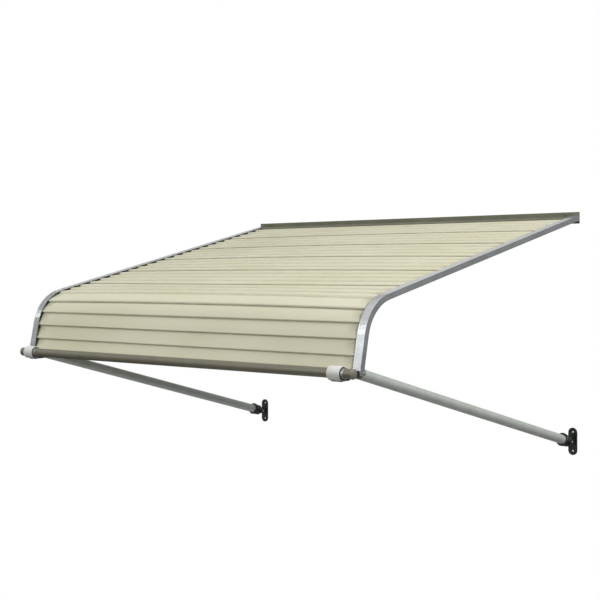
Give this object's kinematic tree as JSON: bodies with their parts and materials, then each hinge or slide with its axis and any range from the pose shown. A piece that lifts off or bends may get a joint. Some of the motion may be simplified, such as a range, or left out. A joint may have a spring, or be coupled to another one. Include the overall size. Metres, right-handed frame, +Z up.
{
  "type": "solid door canopy",
  "caption": "Solid door canopy: lapped slats in two bent side frames on a wall rail, with a round front bar and pivoting support arms to wall brackets.",
  "frame": {"origin": "middle of the wall rail's back face, on the wall", "axes": "+Y into the wall, so the canopy projects towards -Y; +X to the right seen from the front; +Z up"},
  "size_m": [1.3785, 1.1128, 0.755],
  "materials": {
    "almond_paint": "almond baked enamel on roll-formed aluminium sheet, satin",
    "mill_aluminium": "mill finish extrusion, soft sheen along its length",
    "dark_paint": "dark olive enamel, satin",
    "taupe_paint": "taupe enamel, satin",
    "tube_aluminium": "mill finish drawn tube, slightly dulled",
    "white_vinyl": "white vinyl pipe, soft gloss",
    "grey_nylon": "grey nylon",
    "black_nylon": "black nylon, satin",
    "black_cast": "die-cast, black enamel",
    "zinc_plate": "bright zinc plate"
  },
  "bodies": {
    "canopy": {"wall_rail": "dark_paint", "rail_screw_1": "dark_paint", "rail_screw_2": "dark_paint", "rail_screw_3": "dark_paint", "head_strip": "dark_paint", "roof_slat_1": "almond_paint", "roof_slat_2": "almond_paint", "roof_slat_3": "almond_paint", "roof_slat_4": "almond_paint", "roof_slat_5": "almond_paint", "bend_slat": "almond_paint", "front_slat": "almond_paint", "left_side_frame": "mill_aluminium", "right_side_frame": "mill_aluminium", "front_bar": "taupe_paint", "left_bar_cap": "grey_nylon", "right_bar_cap": "grey_nylon", "left_bar_collar": "white_vinyl", "right_bar_collar": "white_vinyl", "left_bar_bushing": "black_nylon", "right_bar_bushing": "black_nylon", "left_bar_hanger": "black_nylon", "right_bar_hanger": "black_nylon", "left_pivot_bolt": "zinc_plate", "right_pivot_bolt": "zinc_plate", "left_pivot_nut": "zinc_plate", "right_pivot_nut": "zinc_plate", "left_arm_spacer": "grey_nylon", "right_arm_spacer": "grey_nylon"},
    "left_arm": {"left_arm": "tube_aluminium", "left_arm_knuckle": "taupe_paint", "left_arm_socket": "black_cast"},
    "right_arm": {"right_arm": "tube_aluminium", "right_arm_knuckle": "taupe_paint", "right_arm_socket": "black_cast"},
    "left_bracket": {"left_wall_bracket": "black_cast", "left_bracket_pin": "zinc_plate"},
    "right_bracket": {"right_wall_bracket": "black_cast", "right_bracket_pin": "zinc_plate"}
  },
  "joints": [
    {"name": "left_arm_swing", "type": "hinge", "parent": "canopy", "child": "left_arm", "pos_m": [-0.663, -1.05149, -0.4216], "axis": [1, 0, 0], "range_deg": [-75, 30]},
    {"name": "right_arm_swing", "type": "hinge", "parent": "canopy", "child": "right_arm", "pos_m": [0.663, -1.05149, -0.4216], "axis": [1, 0, 0], "range_deg": [-75, 30]},
    {"name": "left_bracket_tilt", "type": "hinge", "parent": "left_arm", "child": "left_bracket", "pos_m": [-0.663, -0.02, -0.6945], "axis": [1, 0, 0], "range_deg": [-60, 60]},
    {"name": "right_bracket_tilt", "type": "hinge", "parent": "right_arm", "child": "right_bracket", "pos_m": [0.663, -0.02, -0.6945], "axis": [1, 0, 0], "range_deg": [-60, 60]}
  ]
}
